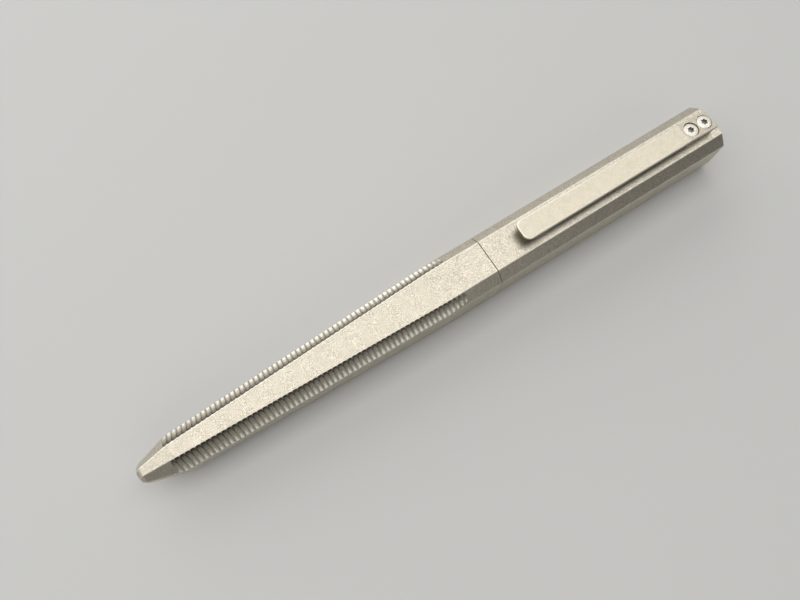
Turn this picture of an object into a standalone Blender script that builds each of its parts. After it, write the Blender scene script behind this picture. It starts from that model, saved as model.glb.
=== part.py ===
"""Titanium twist pen with a fluted octagonal barrel and a milled pocket clip.

Lengths are metres. A station is a distance from the mouth of the nose along the
pen's axis, and a height is a distance above the barrel's top facet. The origin is
the middle of the face that the pen lies on: +X runs to the tail, +Z is the clip side.
"""
from math import cos, pi, radians, sin, sqrt

import bmesh
import bpy
from mathutils import Matrix, Vector

# Refill, which the pen is built round
REFILL_SETBACK = 0.0016
REFILL_LENGTH = 0.0981
REFILL_DIAMETER = 0.00585
REFILL_WALL = 0.00028
REFILL_PROJECTION = 0.0160
TIP_DIAMETER = 0.0023
TIP_POINT_DIAMETER = 0.0010
TIP_POINT_LENGTH = 0.0018
TIP_LENGTH = 0.0074
CONE_DIAMETER = 0.0032
SHOULDER_STATION = 0.0115
SHOULDER_LENGTH = 0.0010
PLUG_LENGTH = 0.0029
INK_BORE = 0.0006
CAP_LENGTH = 0.0117
CAP_BORE = 0.0018
CAP_STEP = 0.000525
CAP_END_LENGTH = 0.0050
CAP_RIB_COUNT = 6
CAP_RIB_DEPTH = 0.0005
CAP_RIB_WIDTH = 0.0007
BALL_DIAMETER = 0.0007
BALL_SHOWING = 0.0002
BALL_GAP = 0.00004
SPRING_WIRE = 0.00036
SPRING_DIAMETER = 0.0041
SPRING_TURNS = 7

# Twist and travel
TWIST_ANGLE = radians(180)
TRAVEL = 0.0052

# Clearances
SEAT_GAP = 0.0002
STACK_GAP = 0.00015
THREAD_GAP = 0.00015
SCREW_GAP = 0.00015
RING_GAP = 0.0001
RING_RUNNING_GAP = 0.00016
REFILL_CLEARANCE = 0.000275
TIP_CLEARANCE = 0.00015
SPRING_CLEARANCE = 0.00022
SHOULDER_CLEARANCE = 0.0003
COUPLING_CLEARANCE = 0.000175
FLANGE_CLEARANCE = 0.00035
SLEEVE_FIT = 0.0002
SLEEVE_END_GAP = 0.0003
PIN_END_GAP = 0.0004
PIN_HOLE_GAP = 0.0001
OVERRUN = 0.0005
WELD = 0.000001

# Barrels
BARREL_WALL = 0.0011
BARREL_CHAMFER = 0.00225
PARALLEL_LENGTH = 0.0134
TAIL_LENGTH = 0.0240
SEAM_GAP = 0.0003
SEAM_BREAK = 0.00015
TAIL_BREAK = 0.00025
NOSE_STATION = 0.0084
NOSE_WALL = 0.00115
NOSE_CHAMFER = 0.0028
LIP_STATION = 0.0010
LIP_STEP = 0.0005
LIP_CHAMFER = 0.00135
MOUTH_WALL = 0.0004
MOUTH_CHAMFER = 0.00105
MOUTH_LAND = 0.0022
SPRING_SEAT = 0.0036
SOCKET_DEPTH = 0.0101

# Flutes in the four sloping facets of the front barrel, from the nose to the taper's end
FLUTE_LEAD = 0.00075
FLUTE_RUNOUT = 0.0050
FLUTE_PITCH = 0.001139
FLUTE_LAND = 0.00012
FLUTE_TOP_MARGIN = 0.00030
FLUTE_NOSE_DEPTH = 0.00055
FLUTE_TAPER_DEPTH = 0.00030
FLUTE_NOSE_BREAKOUT_SHARE = 0.76
FLUTE_TAPER_BREAKOUT_SHARE = 0.15
FLUTE_OVERCUT_SHARE = 1.05

# Pocket clip
CLIP_LENGTH = 0.0526
CLIP_THICKNESS = 0.0014
CLIP_EDGE_BREAK = 0.00018
CLIP_CORNER = 0.0012
CLIP_TAIL_SETBACK = 0.0016
ARM_RISE = 0.0016
PAD_LEAD = 0.00035
PAD_DROP = 0.0007
PAD_UNDERCUT = 0.0006
FOOT_LEAD = 0.0003
FOOT_INSET = 0.0002
FOOT_OVERLAP = 0.0007
BUMP_LEAD = 0.0019
BUMP_FLAT = 0.0025
BUMP_RISE = 0.0016
END_FACE = 0.0009

# Clip screws, and the metal left round their counterbores
SCREW_HEAD = 0.0034
SCREW_HEAD_HEIGHT = 0.0008
SCREW_DOME = 0.00030
SCREW_DOME_SHARES = ((0, 0), (0.5, 0), (0.75, 0.33), (1, 1))
SCREW_SHANK = 0.0019
SCREW_GRIP = 0.0033
SCREW_SIDE_WEB = 0.0006
SCREW_TAIL_WEB = 0.00035
SCREW_WEB = 0.0002
RECESS_ACROSS = 0.0018
RECESS_DEPTH = 0.0005
RECESS_LOBE_SHARE = 0.14

# Coupling, which joins the front barrel to the mechanism
JOURNAL_WALL = 0.00085
JOURNAL_GROOVE_WALL = 0.00032
JOURNAL_GROOVE_INSET = 0.0024
STUB_WALL = 0.0011
STUB_SETBACK = 0.0007
SEAL_GROOVE_WALL = 0.0004
SEAL_GROOVE_INSET = 0.0012
COUPLING_FLANGE_LENGTH = 0.0018
GROOVE_WIDTH = 0.0010
RING_SECTION = 0.00062

# Collar, washers and cam sleeve in the rear barrel
COLLAR_INSET = 0.0006
COLLAR_LENGTH = 0.0038
COLLAR_NOTCH_WIDTH = 0.0012
COLLAR_NOTCH_DEPTH = 0.0008
WASHER_THICKNESS = 0.0004
SLEEVE_WALL = 0.00085
SLEEVE_OVERHANG = 0.0080

# Guide tube, follower and pin
GUIDE_WALL = 0.00045
GUIDE_SEAT_LENGTH = 0.0014
GUIDE_SEAT_FIT = 0.00015
GUIDE_OVERHANG = 0.0072
FOLLOWER_MARGIN = 0.000125
FOLLOWER_LENGTH = 0.0100
FOLLOWER_CHAMFER = 0.0004
PIN_DIAMETER = 0.0014
PIN_SETBACK = 0.0061
SLOT_GAP = 0.0002
PAD_DISC_MARGIN = 0.00055
PAD_DISC_THICKNESS = 0.0008
PAD_DISC_RECESS = 0.0005

# Mesh fineness
TURN_STEPS = 28
SMALL_STEPS = 16
HOLE_SIDES = 24
RING_SIDES = 8
TURN_POINTS = 10
SLOT_POINTS = 16
FLUTE_CELLS = 3
CORNER_STEPS = 4
UPWARD = 0.9
SHARP_ANGLE = radians(40)
LOBE_COUNT = 6
LOBE_POINTS = 4

# Diameters, from the refill outwards
REFILL_BORE = REFILL_DIAMETER + 2 * REFILL_CLEARANCE
CAP_END_DIAMETER = REFILL_DIAMETER - 2 * CAP_STEP
FOLLOWER_DIAMETER = REFILL_DIAMETER + 2 * FOLLOWER_MARGIN
PAD_DISC_DIAMETER = FOLLOWER_DIAMETER - 2 * PAD_DISC_MARGIN
GUIDE_BORE = FOLLOWER_DIAMETER + 2 * SEAT_GAP
GUIDE_OUTER = GUIDE_BORE + 2 * GUIDE_WALL
SLEEVE_BORE = GUIDE_OUTER + 2 * SEAT_GAP
SLEEVE_OUTER = SLEEVE_BORE + 2 * SLEEVE_WALL
REAR_BORE = SLEEVE_OUTER + 2 * SLEEVE_FIT
COUPLING_BORE = REFILL_DIAMETER + 2 * COUPLING_CLEARANCE
COUPLING_JOURNAL = COUPLING_BORE + 2 * JOURNAL_WALL
COUPLING_STUB = COUPLING_BORE + 2 * STUB_WALL
COUPLING_FLANGE = REAR_BORE - 2 * FLANGE_CLEARANCE
JOURNAL_GROOVE_BOTTOM = COUPLING_BORE + 2 * JOURNAL_GROOVE_WALL
JOURNAL_RING = JOURNAL_GROOVE_BOTTOM + RING_SECTION + 2 * RING_GAP
SEAL_GROOVE_BOTTOM = COUPLING_BORE + 2 * SEAL_GROOVE_WALL
SEAL_RING = SEAL_GROOVE_BOTTOM + RING_SECTION + 2 * RING_GAP
SOCKET_BORE = COUPLING_STUB + 2 * THREAD_GAP
COLLAR_BORE = JOURNAL_RING + RING_SECTION + 2 * RING_RUNNING_GAP
WASHER_BORE = COUPLING_JOURNAL + 2 * STACK_GAP
SPRING_BORE = SPRING_DIAMETER + SPRING_WIRE + 2 * SPRING_CLEARANCE
TIP_BORE = CONE_DIAMETER + 2 * TIP_CLEARANCE
MOUTH_BORE = TIP_DIAMETER + 2 * TIP_CLEARANCE
COUNTERBORE = SCREW_HEAD + 2 * SCREW_GAP

# The octagon's width across the flats and its facet's width, where it changes
BARREL_ACROSS = REAR_BORE + 2 * BARREL_WALL
BARREL_FACET = BARREL_ACROSS - 2 * BARREL_CHAMFER
BARREL_HALF = BARREL_ACROSS / 2
NOSE_ACROSS = REFILL_BORE + 2 * NOSE_WALL
NOSE_FACET = NOSE_ACROSS - 2 * NOSE_CHAMFER
MOUTH_ACROSS = MOUTH_BORE + 2 * MOUTH_WALL
MOUTH_FACET = MOUTH_ACROSS - 2 * MOUTH_CHAMFER
LIP_ACROSS = MOUTH_ACROSS + 2 * LIP_STEP
LIP_FACET = LIP_ACROSS - 2 * LIP_CHAMFER

# Stations, from the mouth to the tail
REFILL_BORE_STATION = REFILL_SETBACK + SHOULDER_STATION - TRAVEL - SHOULDER_CLEARANCE
REFILL_END = REFILL_SETBACK + REFILL_LENGTH
FRONT_LENGTH = REFILL_END - REFILL_PROJECTION
TAPER_STATION = FRONT_LENGTH - PARALLEL_LENGTH
FIRST_FLUTE = NOSE_STATION - FLUTE_LEAD
FLUTE_COUNT = 1 + int((TAPER_STATION + FLUTE_RUNOUT - FIRST_FLUTE) / FLUTE_PITCH)
REAR_STATION = FRONT_LENGTH + SEAM_GAP
SOCKET_STATION = FRONT_LENGTH - SOCKET_DEPTH
STUB_STATION = SOCKET_STATION + STACK_GAP * 2
STUB_END = FRONT_LENGTH - STUB_SETBACK
COLLAR_STATION = REAR_STATION + COLLAR_INSET
WASHER_1_STATION = COLLAR_STATION + COLLAR_LENGTH + STACK_GAP
FLANGE_STATION = WASHER_1_STATION + WASHER_THICKNESS + STACK_GAP
FLANGE_END = FLANGE_STATION + COUPLING_FLANGE_LENGTH
WASHER_2_STATION = FLANGE_END + STACK_GAP
SLEEVE_STATION = WASHER_2_STATION + WASHER_THICKNESS + STACK_GAP
GUIDE_STATION = FLANGE_END - GUIDE_SEAT_LENGTH + SEAT_GAP
DISC_STATION = REFILL_END + SEAT_GAP
FOLLOWER_STATION = DISC_STATION + PAD_DISC_THICKNESS - PAD_DISC_RECESS + SEAT_GAP
PIN_STATION = FOLLOWER_STATION + PIN_SETBACK
GUIDE_END = PIN_STATION + GUIDE_OVERHANG
SLEEVE_END = GUIDE_END + SLEEVE_OVERHANG
BORE_END = SLEEVE_END + SLEEVE_END_GAP
OVERALL_LENGTH = BORE_END + TAIL_LENGTH

# The clip, in stations and in heights above the top facet
CLIP_END = OVERALL_LENGTH - CLIP_TAIL_SETBACK
CLIP_FREE_STATION = CLIP_END - CLIP_LENGTH
CLIP_WIDTH = COUNTERBORE + 2 * SCREW_SIDE_WEB
CLIP_HEIGHT = ARM_RISE + CLIP_THICKNESS
PAD_LENGTH = SCREW_TAIL_WEB + 2 * COUNTERBORE + SCREW_WEB + PAD_LEAD
PAD_STATION = CLIP_END - PAD_LENGTH
FOOT_LENGTH = PAD_LENGTH - PAD_UNDERCUT - FOOT_LEAD
REAR_SCREW = CLIP_END - SCREW_TAIL_WEB - COUNTERBORE / 2
SCREW_STATIONS = (REAR_SCREW - COUNTERBORE - SCREW_WEB, REAR_SCREW)

# Colours (linear), roughness and metallic of each finish
FINISHES = {
    "stonewashed_titanium": ((0.62, 0.60, 0.55), 0.42, 1.0),
    "clip_titanium": ((0.66, 0.62, 0.54), 0.38, 1.0),
    "bright_steel": ((0.80, 0.80, 0.79), 0.22, 1.0),
    "brass": ((0.70, 0.52, 0.24), 0.30, 1.0),
    "black_rubber": ((0.02, 0.02, 0.02), 0.80, 0.0),
    "white_acetal": ((0.80, 0.80, 0.78), 0.45, 0.0),
    "blue_plastic": ((0.03, 0.08, 0.30), 0.40, 0.0),
    "tungsten_carbide": ((0.35, 0.35, 0.37), 0.15, 1.0),
}


def clear_scene():
    for item in list(bpy.data.objects):
        bpy.data.objects.remove(item, do_unlink=True)


def new_collection(name):
    collection = bpy.data.collections.new(name)
    bpy.context.scene.collection.children.link(collection)
    return collection


def finish(name):
    """The material of that name, made once."""
    if name in bpy.data.materials:
        return bpy.data.materials[name]
    colour, roughness, metallic = FINISHES[name]
    material = bpy.data.materials.new(name)
    material.use_nodes = True
    shader = material.node_tree.nodes["Principled BSDF"]
    shader.inputs["Base Color"].default_value = (*colour, 1)
    shader.inputs["Roughness"].default_value = roughness
    shader.inputs["Metallic"].default_value = metallic
    material.diffuse_color = (*colour, 1)
    return material


def add_object(name, mesh, collection, parent=None):
    item = bpy.data.objects.new(name, mesh)
    collection.objects.link(item)
    item.parent = parent
    return item


def add_part(name, mesh, finish_name, parent):
    part = add_object(name, mesh, parts, parent)
    part.data.materials.append(finish(finish_name))
    return part


def add_cutter(name, mesh, parent):
    cutter = add_object(name, mesh, cutters, parent)
    cutter.hide_render = True
    cutter.display_type = 'WIRE'
    return cutter


def cut(part, cutter):
    boolean = part.modifiers.new(cutter.name, 'BOOLEAN')
    boolean.operation = 'DIFFERENCE'
    boolean.solver = 'EXACT'
    boolean.object = cutter


def mesh_from(bm, name):
    mesh = bpy.data.meshes.new(name)
    bm.to_mesh(mesh)
    bm.free()
    return mesh


def turned(name, profile, steps, closed=True):
    """Mesh edges of a turned profile, to be swept by add_screw.

    The profile lists (station, radius) points. It goes from the tail end down the
    outer side to the nose end and, on a hollow piece, back up the bore.
    """
    mesh = bpy.data.meshes.new(name)
    points = [(radius, 0, station) for station, radius in profile]
    edges = [(i, i + 1) for i in range(len(points) - 1)]
    if closed:
        edges.append((len(points) - 1, 0))
    mesh.from_pydata(points, edges, [])
    mesh["steps"] = steps
    return mesh


def add_screw(item):
    """Sweep an object's profile about its own Z, then lay that Z along the pen."""
    screw = item.modifiers.new("Turn", 'SCREW')
    screw.axis = 'Z'
    screw.angle = 2 * pi
    screw.steps = screw.render_steps = item.data["steps"]
    screw.use_merge_vertices = True
    screw.merge_threshold = WELD
    screw.use_smooth_shade = True
    item.rotation_euler = (0, pi / 2, 0)


def turned_part(name, profile, finish_name, parent, steps=TURN_STEPS, closed=True):
    part = add_part(name, turned(name, profile, steps, closed), finish_name, parent)
    add_screw(part)
    return part


def turned_cutter(name, profile, parent, steps=TURN_STEPS):
    cutter = add_cutter(name, turned(name, profile, steps, closed=False), parent)
    add_screw(cutter)
    return cutter


def hollow(near, far, outer, inner):
    """Profile of a plain tube between two stations, from its two diameters."""
    return [(far, outer / 2), (near, outer / 2), (near, inner / 2), (far, inner / 2)]


def loft(name, sections):
    """Octagonal solid through (station, across flats, facet width) sections."""
    bm = bmesh.new()
    rings = []
    for station, across, facet in sections:
        half, edge = across / 2, facet / 2
        corners = [(edge, half), (-edge, half), (-half, edge), (-half, -edge),
                   (-edge, -half), (edge, -half), (half, -edge), (half, edge)]
        rings.append([bm.verts.new((station, y, z)) for y, z in corners])
    for ring, following in zip(rings, rings[1:]):
        for i in range(len(ring)):
            j = (i + 1) % len(ring)
            bm.faces.new((ring[i], following[i], following[j], ring[j]))
    bm.faces.new(rings[0])
    bm.faces.new(reversed(rings[-1]))
    bmesh.ops.recalc_face_normals(bm, faces=bm.faces)
    return mesh_from(bm, name)


def cylinder_mesh(name, diameter, length, direction, centre, sides=HOLE_SIDES):
    """Straight round bar, centred at a point and laid along a direction."""
    bm = bmesh.new()
    turn = Vector((0, 0, 1)).rotation_difference(Vector(direction)).to_matrix().to_4x4()
    bmesh.ops.create_cone(bm, cap_ends=True, segments=sides, radius1=diameter / 2,
                          radius2=diameter / 2, depth=length,
                          matrix=Matrix.Translation(centre) @ turn)
    return mesh_from(bm, name)


def box_mesh(name, low, high):
    bm = bmesh.new()
    size = [b - a for a, b in zip(low, high)]
    middle = [(a + b) / 2 for a, b in zip(low, high)]
    bmesh.ops.create_cube(bm, size=1, matrix=Matrix.Translation(middle) @ Matrix.Diagonal((*size, 1)))
    return mesh_from(bm, name)


def curve_mesh(name, points, radius, resolution):
    """Capped tube along a line of points, turned into a welded mesh."""
    curve = bpy.data.curves.new(name, 'CURVE')
    curve.dimensions = '3D'
    curve.bevel_depth = radius
    curve.bevel_resolution = resolution
    curve.use_fill_caps = True
    spline = curve.splines.new('POLY')
    spline.points.add(len(points) - 1)
    for place, point in zip(spline.points, points):
        place.co = (*point, 1)
    holder = add_object(name + "_curve", curve, cutters)
    evaluated = holder.evaluated_get(bpy.context.evaluated_depsgraph_get())
    mesh = bpy.data.meshes.new_from_object(evaluated)
    bpy.data.objects.remove(holder, do_unlink=True)
    bm = bmesh.new()
    bm.from_mesh(mesh)
    bmesh.ops.remove_doubles(bm, verts=bm.verts, dist=WELD)
    bmesh.ops.recalc_face_normals(bm, faces=bm.faces)
    bm.to_mesh(mesh)
    bm.free()
    return mesh


def ring_mesh(name, station, section, mean_diameter):
    """O-ring: a circle swept about the pen's axis."""
    points = []
    for i in range(RING_SIDES):
        angle = 2 * pi * i / RING_SIDES
        points.append((station + section / 2 * cos(angle), mean_diameter / 2 + section / 2 * sin(angle)))
    return turned(name, points, TURN_STEPS)


def slope_reach(across, facet):
    """Distance from the axis to a sloping facet."""
    return (across + facet) / 2 / sqrt(2)


# Front barrel


def flute_scoop(bm, station, corner_y, corner_z):
    """One scoop cutter on the sloping facet between the corner_y and corner_z sides.

    Its floor is a bowl that starts below the facet's upper edge and breaks out through
    the lower one, less and less towards the tail. The row of flutes follows the taper's
    straight line, and so runs out of the metal where the barrel turns parallel.
    """
    nose_reach = slope_reach(NOSE_ACROSS, NOSE_FACET)
    taper_length = TAPER_STATION - NOSE_STATION
    taper = (slope_reach(BARREL_ACROSS, BARREL_FACET) - nose_reach) / taper_length
    reach = nose_reach + taper * (station - NOSE_STATION)
    share = (min(station, TAPER_STATION) - NOSE_STATION) / taper_length
    across = NOSE_ACROSS + (BARREL_ACROSS - NOSE_ACROSS) * share
    facet = NOSE_FACET + (BARREL_FACET - NOSE_FACET) * share
    width = (across - facet) / sqrt(2)
    depth = FLUTE_NOSE_DEPTH + (FLUTE_TAPER_DEPTH - FLUTE_NOSE_DEPTH) * share
    breakout_share = FLUTE_NOSE_BREAKOUT_SHARE \
        + (FLUTE_TAPER_BREAKOUT_SHARE - FLUTE_NOSE_BREAKOUT_SHARE) * share
    reached = width - FLUTE_TOP_MARGIN + breakout_share * depth
    half_length = reached / (1 + sqrt(1 - breakout_share))
    middle = FLUTE_TOP_MARGIN + half_length - width / 2
    half_opening = (FLUTE_PITCH - FLUTE_LAND) / 2
    grid = bmesh.ops.create_grid(bm, x_segments=FLUTE_CELLS, y_segments=FLUTE_CELLS,
                                 size=FLUTE_OVERCUT_SHARE)
    floor = {}
    for vert in grid["verts"]:
        u, v = vert.co.x, vert.co.y
        floor[vert] = (u * half_opening, middle + v * half_length, -depth * (1 - u * u - v * v))
    faces = list({face for vert in grid["verts"] for face in vert.link_faces})
    raised = bmesh.ops.extrude_face_region(bm, geom=faces, use_keep_orig=True)
    lids = {}
    for item in raised["geom"]:
        if isinstance(item, bmesh.types.BMVert):
            u, v = item.co.x, item.co.y
            lids[item] = (u * half_opening, middle + v * half_length, 2 * depth + OVERRUN)
    outward = Vector((0, corner_y, corner_z)).normalized()
    down = Vector((0, corner_y, -corner_z)).normalized()
    for vert, (along_pen, across_facet, height) in {**floor, **lids}.items():
        vert.co = (Vector((station + along_pen, 0, 0)) + down * across_facet
                   + outward * (reach + height + taper * along_pen))


def make_front_barrel(parent):
    narrowed = 2 * SEAM_BREAK
    sections = [
        (0, MOUTH_ACROSS, MOUTH_FACET),
        (LIP_STATION, LIP_ACROSS, LIP_FACET),
        (NOSE_STATION, NOSE_ACROSS, NOSE_FACET),
        (TAPER_STATION, BARREL_ACROSS, BARREL_FACET),
        (FRONT_LENGTH - SEAM_BREAK, BARREL_ACROSS, BARREL_FACET),
        (FRONT_LENGTH, BARREL_ACROSS - narrowed, BARREL_FACET - narrowed / sqrt(2)),
    ]
    barrel = add_part("front_barrel", loft("front_barrel", sections), "stonewashed_titanium", parent)
    scoops = bmesh.new()
    for corner_y in (1, -1):
        for corner_z in (1, -1):
            for i in range(FLUTE_COUNT):
                flute_scoop(scoops, FIRST_FLUTE + i * FLUTE_PITCH, corner_y, corner_z)
    bmesh.ops.recalc_face_normals(scoops, faces=scoops.faces)
    cut(barrel, add_cutter("flute_cutters", mesh_from(scoops, "flute_cutters"), parent))
    bore = [
        (FRONT_LENGTH + OVERRUN, 0),
        (FRONT_LENGTH + OVERRUN, SOCKET_BORE / 2),
        (SOCKET_STATION, SOCKET_BORE / 2),
        (SOCKET_STATION, REFILL_BORE / 2),
        (REFILL_BORE_STATION, REFILL_BORE / 2),
        (REFILL_BORE_STATION, SPRING_BORE / 2),
        (SPRING_SEAT, SPRING_BORE / 2),
        (SPRING_SEAT, TIP_BORE / 2),
        (MOUTH_LAND, TIP_BORE / 2),
        (MOUTH_LAND, MOUTH_BORE / 2),
        (-OVERRUN, MOUTH_BORE / 2),
        (-OVERRUN, 0),
    ]
    cut(barrel, turned_cutter("front_bore_cutter", bore, parent))


# Rear barrel


def make_rear_barrel(parent):
    narrowed = 2 * SEAM_BREAK
    tail_narrowed = 2 * TAIL_BREAK
    sections = [
        (REAR_STATION, BARREL_ACROSS - narrowed, BARREL_FACET - narrowed / sqrt(2)),
        (REAR_STATION + SEAM_BREAK, BARREL_ACROSS, BARREL_FACET),
        (OVERALL_LENGTH - TAIL_BREAK, BARREL_ACROSS, BARREL_FACET),
        (OVERALL_LENGTH, BARREL_ACROSS - tail_narrowed, BARREL_FACET - tail_narrowed / sqrt(2)),
    ]
    barrel = add_part("rear_barrel", loft("rear_barrel", sections), "stonewashed_titanium", parent)
    bore = [
        (BORE_END, 0),
        (BORE_END, REAR_BORE / 2),
        (REAR_STATION - OVERRUN, REAR_BORE / 2),
        (REAR_STATION - OVERRUN, 0),
    ]
    cut(barrel, turned_cutter("rear_bore_cutter", bore, parent))
    for number, station in enumerate(SCREW_STATIONS, start=1):
        depth = SCREW_GRIP + OVERRUN
        centre = (station, 0, BARREL_HALF + OVERRUN / 2 - depth / 2)
        mesh = cylinder_mesh("tapped_hole", SCREW_SHANK + 2 * THREAD_GAP, depth + OVERRUN, (0, 0, 1), centre)
        cut(barrel, add_cutter(f"tapped_hole_cutter_{number}", mesh, parent))


# Pocket clip and its screws


def side_profile():
    """The clip's outline from the side, as (station, height) points."""
    free = CLIP_FREE_STATION
    bump = free + BUMP_LEAD
    return [
        (free, CLIP_HEIGHT), (free, CLIP_HEIGHT - END_FACE),
        (bump, SEAT_GAP), (bump + BUMP_FLAT, SEAT_GAP),
        (bump + BUMP_FLAT + BUMP_RISE, ARM_RISE), (CLIP_END, ARM_RISE),
        (CLIP_END, CLIP_HEIGHT - PAD_DROP), (PAD_STATION, CLIP_HEIGHT),
    ]


def make_clip(parent):
    """Arm and pad from one outline, rounded at the free end, with a foot under the pad."""
    bm = bmesh.new()
    outline = [bm.verts.new((station, -CLIP_WIDTH / 2, BARREL_HALF + height))
               for station, height in side_profile()]
    side = bm.faces.new(outline)
    swept = bmesh.ops.extrude_face_region(bm, geom=[side])
    far = [item for item in swept["geom"] if isinstance(item, bmesh.types.BMVert)]
    bmesh.ops.translate(bm, verts=far, vec=(0, CLIP_WIDTH, 0))
    bmesh.ops.recalc_face_normals(bm, faces=bm.faces)
    bump = CLIP_FREE_STATION + BUMP_LEAD
    corners = [edge for edge in bm.edges
               if max(vert.co.x for vert in edge.verts) <= bump + WELD
               and abs(edge.verts[0].co.y - edge.verts[1].co.y) < WELD]
    bmesh.ops.bevel(bm, geom=corners, offset=CLIP_CORNER, segments=CORNER_STEPS, profile=0.5,
                    affect='EDGES', material=-1)
    top = [edge for edge in bm.edges
           if all(vert.co.z > BARREL_HALF + CLIP_HEIGHT - PAD_DROP - WELD for vert in edge.verts)
           and len(edge.link_faces) == 2
           and sorted(face.normal.z > UPWARD for face in edge.link_faces) == [False, True]]
    bmesh.ops.bevel(bm, geom=top, offset=CLIP_EDGE_BREAK, segments=1, profile=0.5,
                    affect='EDGES', material=-1)
    clip = add_part("pocket_clip", mesh_from(bm, "pocket_clip"), "clip_titanium", parent)

    foot_end = CLIP_END - PAD_UNDERCUT
    half = CLIP_WIDTH / 2 - FOOT_INSET
    foot_top = BARREL_HALF + ARM_RISE + FOOT_OVERLAP
    foot = box_mesh("clip_foot", (foot_end - FOOT_LENGTH, -half, BARREL_HALF + SEAT_GAP),
                    (foot_end, half, foot_top))
    union = clip.modifiers.new("Foot", 'BOOLEAN')
    union.operation = 'UNION'
    union.solver = 'EXACT'
    union.object = add_cutter("clip_foot_form", foot, parent)

    for number, station in enumerate(SCREW_STATIONS, start=1):
        seat = BARREL_HALF + ARM_RISE
        lift = CLIP_THICKNESS + OVERRUN
        bore = cylinder_mesh("counterbore", COUNTERBORE, lift, (0, 0, 1),
                             (station, 0, seat + lift / 2))
        cut(clip, add_cutter(f"counterbore_cutter_{number}", bore, parent))
        depth = ARM_RISE + 2 * OVERRUN
        hole = cylinder_mesh("clearance_hole", SCREW_SHANK + 2 * SCREW_GAP, depth, (0, 0, 1),
                             (station, 0, seat + OVERRUN - depth / 2))
        cut(clip, add_cutter(f"clearance_hole_cutter_{number}", hole, parent))


def recess_mesh(top):
    """Six-lobed driver recess, as a prism from the head's top downwards."""
    bm = bmesh.new()
    count = LOBE_COUNT * LOBE_POINTS
    bmesh.ops.create_circle(bm, cap_ends=True, segments=count, radius=1)
    for vert in bm.verts:
        angle = Vector((1, 0)).angle_signed(vert.co.xy)
        radius = RECESS_ACROSS / 2 * (1 - RECESS_LOBE_SHARE * (1 - cos(LOBE_COUNT * angle)))
        vert.co = (vert.co.x * radius, vert.co.y * radius, top - RECESS_DEPTH)
    swept = bmesh.ops.extrude_face_region(bm, geom=list(bm.faces))
    raised = [item for item in swept["geom"] if isinstance(item, bmesh.types.BMVert)]
    bmesh.ops.translate(bm, verts=raised, vec=(0, 0, RECESS_DEPTH + OVERRUN))
    bmesh.ops.recalc_face_normals(bm, faces=bm.faces)
    return mesh_from(bm, "driver_recess")


def make_clip_screws(parent):
    """Button-head screws that stand on Z, one object each."""
    seat = BARREL_HALF + ARM_RISE + SEAT_GAP
    crown = seat + SCREW_HEAD_HEIGHT
    tip = BARREL_HALF - SCREW_GRIP + SEAT_GAP
    profile = [(crown - SCREW_DOME * drop, SCREW_HEAD / 2 * reach) for reach, drop in SCREW_DOME_SHARES]
    profile += [
        (seat, SCREW_HEAD / 2), (seat, SCREW_SHANK / 2),
        (tip + SCREW_GAP, SCREW_SHANK / 2), (tip, SCREW_SHANK / 2 - SCREW_GAP), (tip, 0),
    ]
    for number, station in enumerate(SCREW_STATIONS, start=1):
        name = f"clip_screw_{number}"
        screw = turned_part(name, profile, "bright_steel", parent, steps=HOLE_SIDES, closed=False)
        screw.rotation_euler = (0, 0, 0)
        screw.location = (station, 0, 0)
        recess = add_cutter(f"driver_recess_cutter_{number}", recess_mesh(crown), parent)
        recess.location = screw.location
        cut(screw, recess)


# Mechanism in the rear barrel


def make_collar(parent):
    """Threaded ring that traps the coupling's flange, with two notches for a spanner."""
    outer = REAR_BORE - 2 * THREAD_GAP
    collar = turned_part("retaining_collar",
                         hollow(COLLAR_STATION, COLLAR_STATION + COLLAR_LENGTH, outer, COLLAR_BORE),
                         "bright_steel", parent)
    low = (COLLAR_STATION - OVERRUN, -REAR_BORE, -COLLAR_NOTCH_WIDTH / 2)
    high = (COLLAR_STATION + COLLAR_NOTCH_DEPTH, REAR_BORE, COLLAR_NOTCH_WIDTH / 2)
    cut(collar, add_cutter("spanner_notch_cutter", box_mesh("spanner_notch", low, high), parent))


def make_washers(parent):
    for number, station in enumerate((WASHER_1_STATION, WASHER_2_STATION), start=1):
        profile = hollow(station, station + WASHER_THICKNESS, SLEEVE_OUTER, WASHER_BORE)
        turned_part(f"thrust_washer_{number}", profile, "white_acetal", parent)


def slot_points(start_angle):
    """Path of the pin about the axis, with its own radius to spare at both ends."""
    mean = (SLEEVE_BORE + SLEEVE_OUTER) / 4
    spare = (PIN_DIAMETER / 2 + SLOT_GAP) / mean
    points = []
    for i in range(SLOT_POINTS + 1):
        turn = -spare + (TWIST_ANGLE + 2 * spare) * i / SLOT_POINTS
        station = PIN_STATION - TRAVEL * turn / TWIST_ANGLE
        points.append((station, mean * cos(start_angle + turn), mean * sin(start_angle + turn)))
    return points


def make_cam_sleeve(parent):
    """Sleeve with two helical slots, each half a turn long."""
    sleeve = turned_part("cam_sleeve", hollow(SLEEVE_STATION, SLEEVE_END, SLEEVE_OUTER, SLEEVE_BORE),
                         "brass", parent)
    wall = (SLEEVE_OUTER - SLEEVE_BORE) / 2
    radius = sqrt((PIN_DIAMETER / 2 + SLOT_GAP) ** 2 + (wall / 2) ** 2)
    for number, angle in enumerate((0, pi), start=1):
        mesh = curve_mesh("cam_slot", slot_points(angle), radius, 2)
        cut(sleeve, add_cutter(f"cam_slot_cutter_{number}", mesh, parent))


# Pieces that turn with the front barrel


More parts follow.
